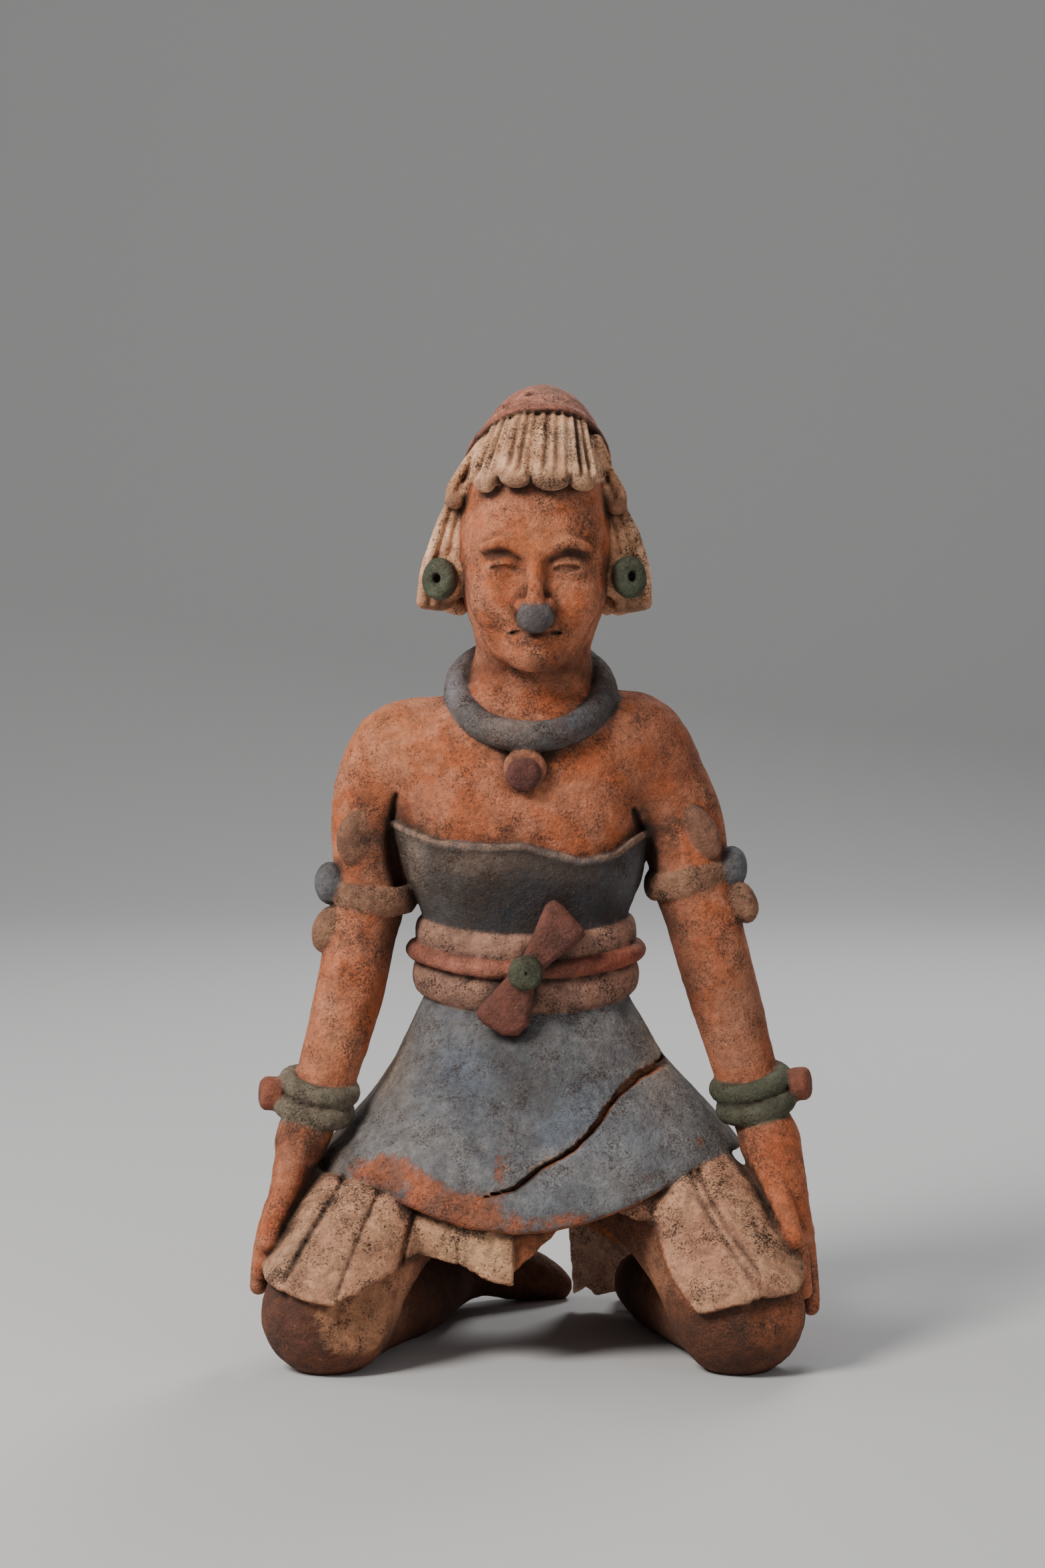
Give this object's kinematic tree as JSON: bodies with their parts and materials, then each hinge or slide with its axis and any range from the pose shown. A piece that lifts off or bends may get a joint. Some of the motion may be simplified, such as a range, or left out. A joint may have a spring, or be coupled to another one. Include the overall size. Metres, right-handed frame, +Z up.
{
  "type": "kneeling figurine",
  "caption": "Painted clay figure of a kneeling woman with hands on her thighs, in a flared overskirt, sash, necklace and earspools; stands on knees and feet as a display piece.",
  "frame": {"origin": "on the floor, under the middle of the figure's bounding box", "axes": "+Z up, -Y the way the figure faces, +X the figure's own left"},
  "size_m": [0.1566, 0.1238, 0.27],
  "materials": {
    "painted_terracotta": "matt fired clay with worn orange, blue-grey, cream and brown-red paint, speckled and soiled"
  },
  "bodies": {
    "root": {"kneeling_figure": "painted_terracotta"}
  },
  "joints": []
}
